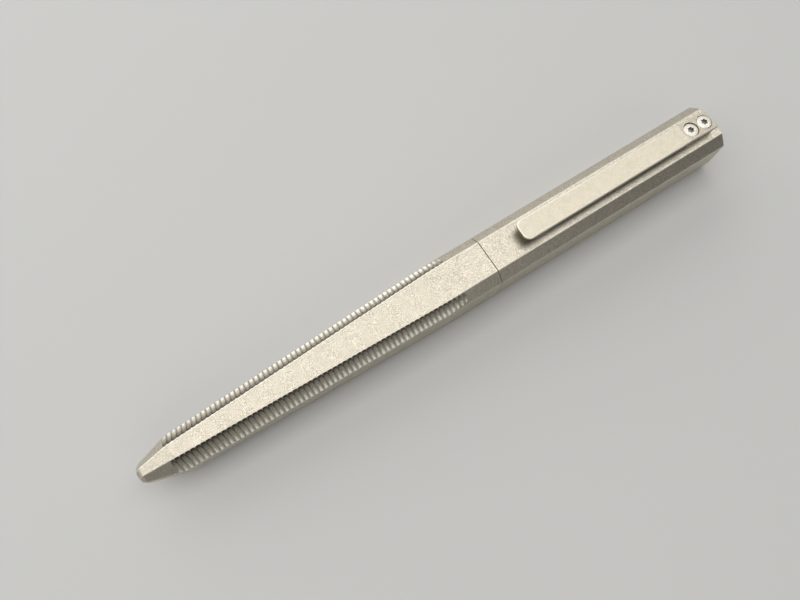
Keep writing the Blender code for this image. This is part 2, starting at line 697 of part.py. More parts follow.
def make_coupling(parent):
    journal_groove = FLANGE_STATION - JOURNAL_GROOVE_INSET
    seal_groove = STUB_STATION + SEAL_GROOVE_INSET
    profile = [
        (FLANGE_END, COUPLING_FLANGE / 2),
        (FLANGE_STATION, COUPLING_FLANGE / 2),
        (FLANGE_STATION, COUPLING_JOURNAL / 2),
        (journal_groove, COUPLING_JOURNAL / 2),
        (journal_groove, JOURNAL_GROOVE_BOTTOM / 2),
        (journal_groove - GROOVE_WIDTH, JOURNAL_GROOVE_BOTTOM / 2),
        (journal_groove - GROOVE_WIDTH, COUPLING_JOURNAL / 2),
        (STUB_END, COUPLING_JOURNAL / 2),
        (STUB_END, COUPLING_STUB / 2),
        (seal_groove + GROOVE_WIDTH, COUPLING_STUB / 2),
        (seal_groove + GROOVE_WIDTH, SEAL_GROOVE_BOTTOM / 2),
        (seal_groove, SEAL_GROOVE_BOTTOM / 2),
        (seal_groove, COUPLING_STUB / 2),
        (STUB_STATION, COUPLING_STUB / 2),
        (STUB_STATION, COUPLING_BORE / 2),
        (FLANGE_END - GUIDE_SEAT_LENGTH, COUPLING_BORE / 2),
        (FLANGE_END - GUIDE_SEAT_LENGTH, GUIDE_OUTER / 2 + GUIDE_SEAT_FIT),
        (FLANGE_END, GUIDE_OUTER / 2 + GUIDE_SEAT_FIT),
    ]
    turned_part("coupling", profile, "bright_steel", parent)
    rings = (
        ("friction_ring", journal_groove - GROOVE_WIDTH / 2, JOURNAL_RING),
        ("thread_seal_ring", seal_groove + GROOVE_WIDTH / 2, SEAL_RING),
    )
    for name, station, mean_diameter in rings:
        ring = add_part(name, ring_mesh(name, station, RING_SECTION, mean_diameter), "black_rubber", parent)
        add_screw(ring)


def make_guide_tube(parent):
    """Tube with a straight slot on each side, in which the pin slides."""
    tube = turned_part("guide_tube", hollow(GUIDE_STATION, GUIDE_END, GUIDE_OUTER, GUIDE_BORE),
                       "bright_steel", parent)
    spare = PIN_DIAMETER / 2 + SLOT_GAP
    low = (PIN_STATION - TRAVEL - 2 * spare, -GUIDE_OUTER, -spare)
    high = (PIN_STATION + 2 * spare, GUIDE_OUTER, spare)
    cut(tube, add_cutter("guide_slot_cutter", box_mesh("guide_slot", low, high), parent))


def make_spring(parent):
    """Return spring between the seat in the nose and the refill's shoulder."""
    start = SPRING_SEAT + SPRING_WIRE / 2 + SEAT_GAP
    end = REFILL_SETBACK + SHOULDER_STATION - SPRING_WIRE / 2 - SEAT_GAP
    points = []
    for i in range(SPRING_TURNS * TURN_POINTS + 1):
        turn = 2 * pi * i / TURN_POINTS
        station = start + (end - start) * i / (SPRING_TURNS * TURN_POINTS)
        points.append((station, SPRING_DIAMETER / 2 * cos(turn), SPRING_DIAMETER / 2 * sin(turn)))
    mesh = curve_mesh("return_spring", points, SPRING_WIRE / 2, 1)
    mesh.shade_smooth()
    add_part("return_spring", mesh, "bright_steel", parent)


# Follower and refill, which slide together


def make_follower(parent):
    end = FOLLOWER_STATION + FOLLOWER_LENGTH
    half = FOLLOWER_DIAMETER / 2
    pocket = PAD_DISC_DIAMETER / 2 + SEAT_GAP
    profile = [
        (end, 0), (end, half - FOLLOWER_CHAMFER), (end - FOLLOWER_CHAMFER, half),
        (FOLLOWER_STATION, half), (FOLLOWER_STATION, pocket),
        (FOLLOWER_STATION + PAD_DISC_RECESS, pocket), (FOLLOWER_STATION + PAD_DISC_RECESS, 0),
    ]
    follower = turned_part("follower", profile, "brass", parent, closed=False)
    hole = cylinder_mesh("pin_hole", PIN_DIAMETER + 2 * PIN_HOLE_GAP, 2 * FOLLOWER_DIAMETER, (0, 1, 0),
                         (PIN_STATION, 0, 0))
    cut(follower, add_cutter("pin_hole_cutter", hole, parent))
    length = SLEEVE_OUTER - 2 * PIN_END_GAP
    pin = cylinder_mesh("follower_pin", PIN_DIAMETER, length, (0, 1, 0), (PIN_STATION, 0, 0))
    pin.shade_smooth()
    pin.set_sharp_from_angle(angle=SHARP_ANGLE)
    add_part("follower_pin", pin, "bright_steel", parent)
    disc = [
        (DISC_STATION + PAD_DISC_THICKNESS, 0), (DISC_STATION + PAD_DISC_THICKNESS, PAD_DISC_DIAMETER / 2),
        (DISC_STATION, PAD_DISC_DIAMETER / 2), (DISC_STATION, 0),
    ]
    turned_part("refill_pad", disc, "black_rubber", parent, closed=False)


def make_refill(parent):
    """Tip with its ball, metal tube and plastic cap, end to end."""
    shoulder = REFILL_SETBACK + SHOULDER_STATION
    plug = REFILL_DIAMETER / 2 - REFILL_WALL - THREAD_GAP
    tube_start = shoulder + SHOULDER_LENGTH + SEAT_GAP
    tube_end = REFILL_END - CAP_LENGTH - SEAT_GAP
    ball_centre = REFILL_SETBACK + BALL_DIAMETER / 2
    rim = REFILL_SETBACK + BALL_SHOWING
    socket = BALL_DIAMETER / 2 + BALL_GAP
    socket_end = ball_centre + socket
    tip = [
        (tube_start + PLUG_LENGTH, plug),
        (tube_start - SEAT_GAP, plug),
        (tube_start - SEAT_GAP, REFILL_DIAMETER / 2),
        (shoulder, REFILL_DIAMETER / 2),
        (shoulder, CONE_DIAMETER / 2),
        (REFILL_SETBACK + TIP_LENGTH, TIP_DIAMETER / 2),
        (rim + TIP_POINT_LENGTH, TIP_DIAMETER / 2),
        (rim, TIP_POINT_DIAMETER / 2),
        (rim, socket),
        (socket_end, socket),
        (socket_end, INK_BORE / 2),
        (tube_start + PLUG_LENGTH, INK_BORE / 2),
    ]
    turned_part("refill_tip", tip, "bright_steel", parent, steps=SMALL_STEPS)
    bm = bmesh.new()
    bmesh.ops.create_uvsphere(bm, u_segments=SMALL_STEPS, v_segments=SMALL_STEPS // 2,
                              radius=BALL_DIAMETER / 2, matrix=Matrix.Translation((ball_centre, 0, 0)))
    ball = mesh_from(bm, "writing_ball")
    ball.shade_smooth()
    add_part("writing_ball", ball, "tungsten_carbide", parent)
    inner = REFILL_DIAMETER - 2 * REFILL_WALL
    turned_part("refill_tube", hollow(tube_start, tube_end, REFILL_DIAMETER, inner), "bright_steel", parent)

    neck = REFILL_END - CAP_END_LENGTH
    cap = [
        (REFILL_END, CAP_END_DIAMETER / 2),
        (neck, CAP_END_DIAMETER / 2),
        (neck, REFILL_DIAMETER / 2),
        (tube_end + SEAT_GAP, REFILL_DIAMETER / 2),
        (tube_end + SEAT_GAP, plug),
        (tube_end - PLUG_LENGTH, plug),
        (tube_end - PLUG_LENGTH, CAP_BORE / 2),
        (REFILL_END, CAP_BORE / 2),
    ]
    cap_part = turned_part("refill_cap", cap, "blue_plastic", parent, steps=SMALL_STEPS)
    ribs = bmesh.new()
    for i in range(CAP_RIB_COUNT):
        angle = 2 * pi * i / CAP_RIB_COUNT
        centre = Matrix.Rotation(angle, 4, 'X') @ Matrix.Translation(
            (REFILL_END, CAP_END_DIAMETER / 2 + CAP_RIB_WIDTH - CAP_RIB_DEPTH, 0))
        size = Matrix.Diagonal((CAP_END_LENGTH, 2 * CAP_RIB_WIDTH, CAP_RIB_WIDTH, 1))
        bmesh.ops.create_cube(ribs, size=1, matrix=centre @ size)
    cut(cap_part, add_cutter("cap_rib_cutters", mesh_from(ribs, "cap_ribs"), parent))


def make_axis(name, parent=None):
    """An empty on the pen's axis at the mouth, which its group turns or slides with."""
    axis = add_object(name, None, parts, parent)
    if parent is None:
        axis.location = (-OVERALL_LENGTH / 2, 0, BARREL_HALF)
    return axis


clear_scene()
parts = new_collection("twist_pen")
cutters = new_collection("cutters")
rear = make_axis("rear_axis")
front = make_axis("twist_axis", rear)
refill = make_axis("refill_axis", front)

make_rear_barrel(rear)
make_clip(rear)
make_clip_screws(rear)
make_collar(rear)
make_washers(rear)
make_cam_sleeve(rear)
make_front_barrel(front)
make_coupling(front)
make_guide_tube(front)
make_spring(front)
make_follower(refill)
make_refill(refill)
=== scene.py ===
from math import cos, pi, radians, sqrt, tan

import bmesh
import bpy
from mathutils import Matrix, Vector


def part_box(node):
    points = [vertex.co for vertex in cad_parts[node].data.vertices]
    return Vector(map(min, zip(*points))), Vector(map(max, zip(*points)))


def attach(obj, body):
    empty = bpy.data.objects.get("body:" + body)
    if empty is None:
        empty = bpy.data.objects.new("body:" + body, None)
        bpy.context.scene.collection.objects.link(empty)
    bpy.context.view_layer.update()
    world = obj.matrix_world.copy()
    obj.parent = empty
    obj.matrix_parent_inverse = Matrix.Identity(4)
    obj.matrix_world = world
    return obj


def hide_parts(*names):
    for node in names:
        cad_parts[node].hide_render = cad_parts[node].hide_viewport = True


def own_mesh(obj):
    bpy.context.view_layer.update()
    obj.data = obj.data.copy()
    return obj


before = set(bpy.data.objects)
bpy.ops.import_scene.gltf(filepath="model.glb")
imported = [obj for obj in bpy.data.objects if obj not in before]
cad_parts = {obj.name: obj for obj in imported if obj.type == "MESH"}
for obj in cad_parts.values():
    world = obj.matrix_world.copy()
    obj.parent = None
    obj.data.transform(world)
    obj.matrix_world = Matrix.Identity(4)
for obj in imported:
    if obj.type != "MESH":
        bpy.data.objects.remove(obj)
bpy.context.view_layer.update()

# A twist pen in tumbled titanium, laid on a pale table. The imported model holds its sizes, and
# this script gives it milled flutes, rounded edges and finishes.

mm = 0.001
weld = 0.001 * mm      # points closer than this are one

frontLow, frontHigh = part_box("front_barrel")
rearLow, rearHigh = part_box("rear_barrel")
clipLow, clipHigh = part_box("pocket_clip")
mouthX = frontLow.x                          # stations are counted from the mouth
axisZ = (frontLow.z + frontHigh.z) / 2       # height of the pen's axis
across = frontHigh.z - frontLow.z            # width across the flats


# The camera stands where the photograph was taken from.
view = {
    "place": (-0.0303, -0.03056, 0.13546),
    "yaw": radians(31.906),      # turned from +Y towards +X
    "pitch": radians(72.84),     # below the horizon
    "roll": radians(-0.389),
    "lens": 27.9,
    "sensor": 36.0,
}


def makeCamera():
    data = bpy.data.cameras.new("camera")
    data.lens = view["lens"]
    data.sensor_width = view["sensor"]
    data.clip_start = 1 * mm
    camera = bpy.data.objects.new("camera", data)
    bpy.context.scene.collection.objects.link(camera)
    camera.matrix_world = (Matrix.Translation(view["place"])
                           @ Matrix.Rotation(-view["yaw"], 4, 'Z')
                           @ Matrix.Rotation(radians(90) - view["pitch"], 4, 'X')
                           @ Matrix.Rotation(view["roll"], 4, 'Z'))
    bpy.context.scene.camera = camera


makeCamera()
print("camera placed")


# Colours and nodes

# sRGB hex to the linear colour that the shaders take.
def linear(hexColour):
    channels = [int(hexColour[i:i + 2], 16) / 255 for i in (1, 3, 5)]
    straight = [c / 12.92 if c <= 0.04045 else ((c + 0.055) / 1.055) ** 2.4 for c in channels]
    return tuple(straight) + (1.0,)


# Adds a node, sets its properties or inputs, and links inputs to other nodes' outputs.
def addNode(tree, kind, settings=None, links=None):
    node = tree.nodes.new(kind)
    for key, value in (settings or {}).items():
        if isinstance(key, str) and hasattr(node, key):
            setattr(node, key, value)
        else:
            node.inputs[key].default_value = value
    for key, source in (links or {}).items():
        tree.links.new(source, node.inputs[key])
    return node


def newMaterial(name, base, metallic, roughness):
    material = bpy.data.materials.new(name)
    material.use_nodes = True
    shader = material.node_tree.nodes["Principled BSDF"]
    shader.inputs["Base Color"].default_value = linear(base)
    shader.inputs["Metallic"].default_value = metallic
    shader.inputs["Roughness"].default_value = roughness
    material.diffuse_color = linear(base)
    return material, material.node_tree, shader


# The tumbled pattern. Sizes are counted in grains, and limits are values of the noise.
tumbled = {
    "cloudSize": 12, "dentSize": 2.2,
    "speckLimits": (0.36, 0.64), "cloudLimits": (0.3, 0.7),
    "cloudDrift": 0.06,
    "unbrokenShare": 0.6,                # share of the wear and painted highlight that specks don't break up
    "roughnessDrift": 0.07,
    "edgeRoughness": 0.12,         # added where an edge is worn
}


# Metal tumbled with stones: pale and dark specks; paler, softer edges, partly real wear and
# partly a painted highlight; and painted shade, a darker colour in hollows and on cut sides.
def speckledMetal(name, pale, dark, wornAndLit, shadePaint, roughness, grain, pits, tumble):
    material, tree, shader = newMaterial(name, pale, 1.0, roughness)
    place = addNode(tree, "ShaderNodeTexCoord").outputs["Object"]
    specks = addNode(tree, "ShaderNodeTexNoise", {"Scale": 1 / grain, "Detail": 2.0},
                     {"Vector": place})
    clouds = addNode(tree, "ShaderNodeTexNoise",
                     {"Scale": 1 / (tumbled["cloudSize"] * grain), "Detail": 2.0},
                     {"Vector": place})
    dents = addNode(tree, "ShaderNodeTexVoronoi", {"Scale": 1 / (tumbled["dentSize"] * grain)},
                    {"Vector": place})
    lowest, highest = tumbled["speckLimits"]
    speckShare = addNode(tree, "ShaderNodeMapRange", {"From Min": lowest, "From Max": highest},
                         {"Value": specks.outputs["Fac"]})
    lowest, highest = tumbled["cloudLimits"]
    cloudShare = addNode(tree, "ShaderNodeMapRange",
                         {"From Min": lowest, "From Max": highest,
                          "To Min": -tumbled["cloudDrift"], "To Max": tumbled["cloudDrift"]},
                         {"Value": clouds.outputs["Fac"]})
    share = addNode(tree, "ShaderNodeMath", {"operation": 'ADD', "use_clamp": True},
                    {0: speckShare.outputs["Result"], 1: cloudShare.outputs["Result"]})
    colour = addNode(tree, "ShaderNodeMix",
                     {"data_type": 'RGBA', 6: linear(dark), 7: linear(pale)},
                     {"Factor": share.outputs["Value"]})
    # Paler edges from this mask are partly real wear and partly a painted highlight.
    edge = addNode(tree, "ShaderNodeAttribute", {"attribute_name": "wear_and_highlight"})
    broken = addNode(tree, "ShaderNodeMath", {"operation": 'MULTIPLY', "use_clamp": True},
                     {0: edge.outputs["Fac"], 1: speckShare.outputs["Result"]})
    rubbedAndLit = addNode(tree, "ShaderNodeMath",
                     {"operation": 'MULTIPLY_ADD', 1: tumbled["unbrokenShare"], "use_clamp": True},
                     {0: edge.outputs["Fac"], 2: broken.outputs["Value"]})
    finished = addNode(tree, "ShaderNodeMix", {"data_type": 'RGBA', 7: linear(wornAndLit)},
                       {"Factor": rubbedAndLit.outputs["Value"], 6: colour.outputs[2]})
    # Painted shade: this mask mixes in a darker colour.
    painted_shade = addNode(tree, "ShaderNodeAttribute", {"attribute_name": "painted_shade"})
    shaded = addNode(tree, "ShaderNodeMix", {"data_type": 'RGBA', 7: linear(shadePaint)},
                     {"Factor": painted_shade.outputs["Fac"], 6: finished.outputs[2]})
    tree.links.new(shaded.outputs[2], shader.inputs["Base Color"])
    dull = addNode(tree, "ShaderNodeMapRange",
                   {"To Min": roughness + tumbled["roughnessDrift"],
                    "To Max": roughness - tumbled["roughnessDrift"]},
                   {"Value": share.outputs["Value"]})
    softened = addNode(tree, "ShaderNodeMath",
                       {"operation": 'MULTIPLY_ADD', 1: tumbled["edgeRoughness"],
                        "use_clamp": True},
                       {0: edge.outputs["Fac"], 2: dull.outputs["Result"]})
    tree.links.new(softened.outputs["Value"], shader.inputs["Roughness"])
    height = addNode(tree, "ShaderNodeMath", {"operation": 'MULTIPLY_ADD', 1: tumble},
                     {0: dents.outputs["Distance"], 2: specks.outputs["Fac"]})
    bump = addNode(tree, "ShaderNodeBump", {"Strength": 1.0, "Distance": pits},
                   {"Height": height.outputs["Value"]})
    tree.links.new(bump.outputs["Normal"], shader.inputs["Normal"])
    return material


# The pattern that a lathe or a die leaves.
turned = {
    "waveRepeat": 0.314,           # length after which a wave texture of scale 1 repeats
    "waver": 1.5,
    "smudge": 1.5 * mm, "smoother": 0.06, "rougher": 0.08,
    "groove": 0.01 * mm, "grooveStrength": 0.4,
}


# Metal with fine rings about the pen's axis, darker in their grooves.
def turnedMetal(name, base, dark, roughness, pitch):
    material, tree, shader = newMaterial(name, base, 1.0, roughness)
    place = addNode(tree, "ShaderNodeTexCoord").outputs["Object"]
    rings = addNode(tree, "ShaderNodeTexWave",
                    {"bands_direction": 'X', "Scale": turned["waveRepeat"] / pitch,
                     "Distortion": turned["waver"], "Detail": 2.0},
                    {"Vector": place})
    smudge = addNode(tree, "ShaderNodeTexNoise", {"Scale": 1 / turned["smudge"], "Detail": 3.0},
                     {"Vector": place})
    share = addNode(tree, "ShaderNodeMath", {"operation": 'MULTIPLY'},
                    {0: rings.outputs["Fac"], 1: smudge.outputs["Fac"]})
    colour = addNode(tree, "ShaderNodeMix",
                     {"data_type": 'RGBA', 6: linear(base), 7: linear(dark)},
                     {"Factor": share.outputs["Value"]})
    tree.links.new(colour.outputs[2], shader.inputs["Base Color"])
    dull = addNode(tree, "ShaderNodeMapRange",
                   {"To Min": roughness - turned["smoother"],
                    "To Max": roughness + turned["rougher"]},
                   {"Value": smudge.outputs["Fac"]})
    tree.links.new(dull.outputs["Result"], shader.inputs["Roughness"])
    bump = addNode(tree, "ShaderNodeBump",
                   {"Strength": turned["grooveStrength"], "Distance": turned["groove"]},
                   {"Height": rings.outputs["Fac"]})
    tree.links.new(bump.outputs["Normal"], shader.inputs["Normal"])
    return material


moulded = {"smoother": 0.08, "rougher": 0.1, "skin": 0.01 * mm, "skinStrength": 0.5}


# Plastic or rubber from a mould: a fine orange-peel skin with slight colour drift.
def mouldedPlastic(name, base, dark, roughness, grain, ior):
    material, tree, shader = newMaterial(name, base, 0.0, roughness)
    shader.inputs["IOR"].default_value = ior
    place = addNode(tree, "ShaderNodeTexCoord").outputs["Object"]
    skin = addNode(tree, "ShaderNodeTexNoise", {"Scale": 1 / grain, "Detail": 3.0},
                   {"Vector": place})
    colour = addNode(tree, "ShaderNodeMix",
                     {"data_type": 'RGBA', 6: linear(base), 7: linear(dark)},
                     {"Factor": skin.outputs["Fac"]})
    tree.links.new(colour.outputs[2], shader.inputs["Base Color"])
    dull = addNode(tree, "ShaderNodeMapRange",
                   {"To Min": roughness - moulded["smoother"],
                    "To Max": roughness + moulded["rougher"]},
                   {"Value": skin.outputs["Fac"]})
    tree.links.new(dull.outputs["Result"], shader.inputs["Roughness"])
    bump = addNode(tree, "ShaderNodeBump",
                   {"Strength": moulded["skinStrength"], "Distance": moulded["skin"]},
                   {"Height": skin.outputs["Fac"]})
    tree.links.new(bump.outputs["Normal"], shader.inputs["Normal"])
    return material


# Titanium tumbled with small stones: warm pale grey and matt. Its specks are finer than a
# tenth of a millimetre, too fine to show here, so they are drawn about 0.2 mm wide.
# The third colour is worn edges, partly a painted highlight; the fourth is painted shade.
tumbledTitanium = speckledMetal("TumbledTitanium", "#E3DBCA", "#A19988", "#F4EFE2", "#34302A",
                                0.38, 0.14 * mm, 0.011 * mm, 0.12)
# The clip is the same metal, milled flat before it was tumbled: a little darker and yellower,
# and smoother, with fainter specks.
tumbledClipTitanium = speckledMetal("TumbledClipTitanium",
                                    "#DAD2C0", "#ADA592", "#F4EFE2", "#4A463C",
                                    0.36, 0.14 * mm, 0.006 * mm, 0.2)
# Stainless steel screws, satin from cold heading and tumbling: pale, with a few rubbed specks.
satinScrewSteel = speckledMetal("SatinScrewSteel", "#EDE9DF", "#D6D1C5", "#F6F4EC", "#545149",
                                0.44, 0.25 * mm, 0.003 * mm, 0.2)
# Stainless steel and brass from the lathe: even rings with a soft glint.
turnedSteel = turnedMetal("TurnedStainlessSteel", "#C9CACB", "#9A9B9D", 0.30, 0.12 * mm)
turnedBrass = turnedMetal("TurnedBrass", "#C9A561", "#94733A", 0.28, 0.12 * mm)
# Refill tube and spring wire, drawn through a die: a bright tube and a greyer wire.
drawnRefillSteel = turnedMetal("DrawnRefillSteel", "#CFCFCD", "#A6A6A4", 0.24, 0.2 * mm)
springSteel = turnedMetal("DrawnSpringSteel", "#B9BABC", "#85868A", 0.32, 0.1 * mm)
# The refill's point is turned finely enough to shine, and its ball is carbide, ground and
# polished: dark, with a bright glint.
turnedTipSteel = turnedMetal("TurnedTipSteel", "#CBCAC6", "#A8A7A2", 0.22, 0.05 * mm)
groundCarbide = turnedMetal("GroundTungstenCarbide", "#8C8D92", "#6A6B70", 0.16, 0.05 * mm)
# Washers and the refill's end plug, injection moulded: a soft gloss over a fine skin.
mouldedAcetal = mouldedPlastic("MouldedAcetal", "#E4E2DC", "#D2D0C8", 0.45, 0.15 * mm, 1.48)
mouldedRefillPlastic = mouldedPlastic("MouldedPolypropylene", "#2F5FA8", "#244A86",
                                      0.40, 0.2 * mm, 1.49)
# Seals and pad in pressed nitrile rubber: black and dull, with a powdery bloom.
mouldedNitrile = mouldedPlastic("MouldedNitrileRubber", "#1E1E1E", "#2C2C2C",
                                0.62, 0.08 * mm, 1.52)
print("materials made")


# Shared steps for new pieces

# Value a share of the way from the first to the last.
def between(first, last, share):
    return first + (last - first) * share


# Turns a bmesh into an object, smooth where it has a material.
def makeObject(bm, name, material=None):
    mesh = bpy.data.meshes.new(name)
    bm.to_mesh(mesh)
    bm.free()
    if material:
        mesh.materials.append(material)
        mesh.shade_smooth()
    made = bpy.data.objects.new(name, mesh)
    bpy.context.scene.collection.objects.link(made)
    return made


# A piece that rides on a body in place of an imported node, which it hides.
def addPiece(bm, name, body, material, node):
    piece = makeObject(bm, name, material)
    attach(piece, body)
    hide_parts(node)
    return piece


# Smooth shading that breaks at sharp edges and leaves flat facets flat beside rounded ones.
def finishShading(piece, sharpAngle):
    piece.data.set_sharp_from_angle(angle=sharpAngle)
    weighted = piece.modifiers.new("FlatFacets", 'WEIGHTED_NORMAL')
    weighted.keep_sharp = True
    weighted.weight = 100


# Cuts or joins solids with Boolean modifiers, applies them and removes the cutters.
def cutWith(piece, cutters, operation='DIFFERENCE'):
    for cutter in cutters:
        boolean = piece.modifiers.new(cutter.name, 'BOOLEAN')
        boolean.operation = operation
        boolean.solver = 'EXACT'
        boolean.object = cutter
    evaluated = piece.evaluated_get(bpy.context.evaluated_depsgraph_get())
    mesh = bpy.data.meshes.new_from_object(evaluated)
    piece.modifiers.clear()
    piece.data = mesh
    for cutter in cutters:
        bpy.data.objects.remove(cutter, do_unlink=True)


# Edges where two faces meet at more than an angle.
def edgesOver(bm, angle):
    return [edge for edge in bm.edges
            if len(edge.link_faces) == 2 and edge.calc_face_angle() > angle]


# Rounds edges, and gives back the faces that this makes.
def roundEdges(bm, edges, offset, segments):
    made = bmesh.ops.bevel(bm, geom=edges, offset=offset, segments=segments, profile=0.5,
                           affect='EDGES', material=-1)
    return made["faces"]


# Barrels. One quarter of the octagon is wrapped from a grid, from the middle of the top facet
# over a sloping facet to the middle of a side facet, and mirrored twice.
barrel = {
    "facet": 7.6 * mm,             # width of a flat facet on the parallel part
    "parallel": 13.4 * mm,         # parallel stretch before the seam
    "noseStation": 8.4 * mm, "noseAcross": 8.7 * mm, "noseFacet": 3.1 * mm,
    "lipStation": 1.0 * mm, "lipAcross": 4.4 * mm, "lipFacet": 1.7 * mm,
    "mouthAcross": 3.4 * mm, "mouthFacet": 1.3 * mm,
    "mouthBore": 2.6 * mm, "tipBore": 3.5 * mm, "springBore": 4.9 * mm, "refillBore": 6.4 * mm,
    "socketBore": 8.7 * mm, "rearBore": 9.9 * mm,
    "mouthLand": 2.2 * mm, "springSeat": 3.6 * mm, "refillStation": 7.6 * mm,
    "socketDepth": 10.1 * mm, "rearBoreDepth": 37.7 * mm,
    "edge": 0.11 * mm,             # half the width of a rounded edge
    "endBreak": 0.05 * mm,         # chamfer round an end face
    "seamGap": 0.13 * mm,          # between the two halves
    "tailBreak": 0.25 * mm,
    # Paler over rounded edges: partly real wear, partly a painted highlight, stronger by the top
    # and bottom facets.
    "upperWearAndHighlight": (0.35, 1.0, 0.35), "lowerWearAndHighlight": (0.1, 0.3, 0.1),  # over a rounded edge
    "rimWear": 0.1, "tailWear": 0.9,
    "sharpAngle": radians(40),
}
flutes = {
    "count": 60, "pitch": 1.139 * mm, "lead": 0.75 * mm,
    "cutterRadius": 0.62 * mm,     # round nose of the cutter, across a flute
    "margin": 0.04 * mm,           # plain strip under the top facet's edge
    "noseDepth": 0.55 * mm, "taperDepth": 0.30 * mm,
    "noseBreakout": 0.76, "taperBreakout": 0.15,   # shares of the depth, at the lower edge
    "columns": 10,                 # mesh columns to a flute
    # Painted shade at a flute's top end and along its ridges, and a painted highlight at its
    # lower end.
    "wallShade": 0.5, "wallPower": 8,              # dark only close to the ridges
    "topShade": 1.0, "topReach": 1.15, "topPower": 1.2,
    "shadeFade": 0.2 * mm,         # how far the painted shade reaches past a flute's rim
    "tipHighlight": 1.5, "tipReach": 0.05,
}
rows = {
    "flat": (0.0, 0.5, 0.97),      # shares of a flat facet's half, from its middle
    "slope": 18,                   # steps over a sloping facet
    "breakout": 5,                 # steps down the side facet, where the flutes break out
    "breakoutReach": 0.75 * mm, "sideShare": 0.6,  # at most this share of the side facet's half
}
taperStation = frontHigh.x - mouthX - barrel["parallel"]
seamMiddle = (frontHigh.x + rearLow.x) / 2 - mouthX


# Three points that round a corner of the octagon, from the side before to the side after.
def roundedCorner(corner, before, after):
    edge = barrel["edge"]
    start = corner + before * edge
    end = corner + after * edge
    radius = edge / tan(pi / 8)
    inward = (before + after).normalized()
    middle = corner + inward * (radius / cos(pi / 8) - radius)
    return [start, middle, end]


# Points (y, z) about the axis, and each one's wear, over one quarter of the octagon.
def octagonQuarter(width, facet):
    half, flat = width / 2, facet / 2
    upper, lower = Vector((flat, half)), Vector((half, flat))
    slope = (lower - upper).normalized()
    points, wear_and_highlight = [], []
    for share in rows["flat"]:
        points.append(Vector((flat - barrel["edge"], 0)) * share + Vector((0, half)))
        wear_and_highlight.append(0.0)
    points += roundedCorner(upper, Vector((-1, 0)), slope)
    wear_and_highlight += barrel["upperWearAndHighlight"]
    first, last = points[-1], lower - slope * barrel["edge"]
    for i in range(1, rows["slope"]):
        points.append(first.lerp(last, i / rows["slope"]))
        wear_and_highlight.append(0.0)
    points += roundedCorner(lower, -slope, Vector((0, -1)))
    wear_and_highlight += barrel["lowerWearAndHighlight"]
    side = flat - barrel["edge"]
    reach = min(rows["breakoutReach"], side * rows["sideShare"])
    for i in range(1, rows["breakout"] + 1):
        points.append(Vector((half, side - reach * i / rows["breakout"])))
        wear_and_highlight.append(0.0)
    points.append(Vector((half, 0)))
    wear_and_highlight.append(0.0)
    return points, wear_and_highlight


# The same count of points round a bore, each at the angle of its fellow on the octagon.
def roundQuarter(diameter, likeWidth, likeFacet):
    points, wear_and_highlight = octagonQuarter(likeWidth, likeFacet)
    return [point.normalized() * diameter / 2 for point in points], [0.0] * len(wear_and_highlight)


# Distance from the axis to a sloping facet.
def slopeReach(width, facet):
    return (width + facet) / 2 / sqrt(2)


# What the cutter leaves at a place on the taper's sloping facet: its depth under that facet, the
# facet's reach, the painted shade there (a flute's top end and side walls), and the painted
# highlight (the middle of its lower end). The drop is the place's distance down the facet.
def fluteFloor(station, drop):
    taperLength = taperStation - barrel["noseStation"]
    noseReach = slopeReach(barrel["noseAcross"], barrel["noseFacet"])
    taper = (slopeReach(across, barrel["facet"]) - noseReach) / taperLength
    reach = noseReach + taper * (station - barrel["noseStation"])
    first = barrel["noseStation"] - flutes["lead"]
    number = min(max(round((station - first) / flutes["pitch"]), 0), flutes["count"] - 1)
    centre = first + number * flutes["pitch"]
    share = (min(centre, taperStation) - barrel["noseStation"]) / taperLength
    width = between(barrel["noseAcross"], across, share)
    facet = between(barrel["noseFacet"], barrel["facet"], share)
    depth = between(flutes["noseDepth"], flutes["taperDepth"], share)
    breakout = between(flutes["noseBreakout"], flutes["taperBreakout"], share)
    slopeWidth = (width - facet) / sqrt(2)
    halfLength = (slopeWidth - flutes["margin"] + breakout * depth) / (1 + sqrt(1 - breakout))
    middle = flutes["margin"] + halfLength - slopeWidth / 2
    down = (drop - middle) / halfLength            # -1 at a flute's top end, 1 at its lower end
    aside = (station - centre) / flutes["cutterRadius"]
    floor = depth * (1 - down ** 2) - flutes["cutterRadius"] * aside * aside / 2
    wall = (2 * (station - centre) / flutes["pitch"]) ** flutes["wallPower"]
    top = min(1, max(0, -flutes["topReach"] * down)) ** flutes["topPower"]
    painted_shade = min(1, flutes["wallShade"] * wall + flutes["topShade"] * top)
    rubbedAndLit = max(0, down + flutes["tipReach"]) * (1 - wall) * flutes["tipHighlight"]
    return floor, reach, painted_shade, min(1, rubbedAndLit)


# Whether a station lies among the flutes.
def fluted(station):
    start = barrel["noseStation"] - flutes["lead"] - flutes["pitch"] / 2
    return start < station < start + flutes["count"] * flutes["pitch"]


# Width across the flats and width of a flat facet, from the lip to the parallel part.
def tapered(station):
    if station < barrel["noseStation"]:
        share = (station - barrel["lipStation"]) / (barrel["noseStation"] - barrel["lipStation"])
        return (between(barrel["lipAcross"], barrel["noseAcross"], share),
                between(barrel["lipFacet"], barrel["noseFacet"], share))
    share = min(1, (station - barrel["noseStation"]) / (taperStation - barrel["noseStation"]))
    return (between(barrel["noseAcross"], across, share),
            between(barrel["noseFacet"], barrel["facet"], share))


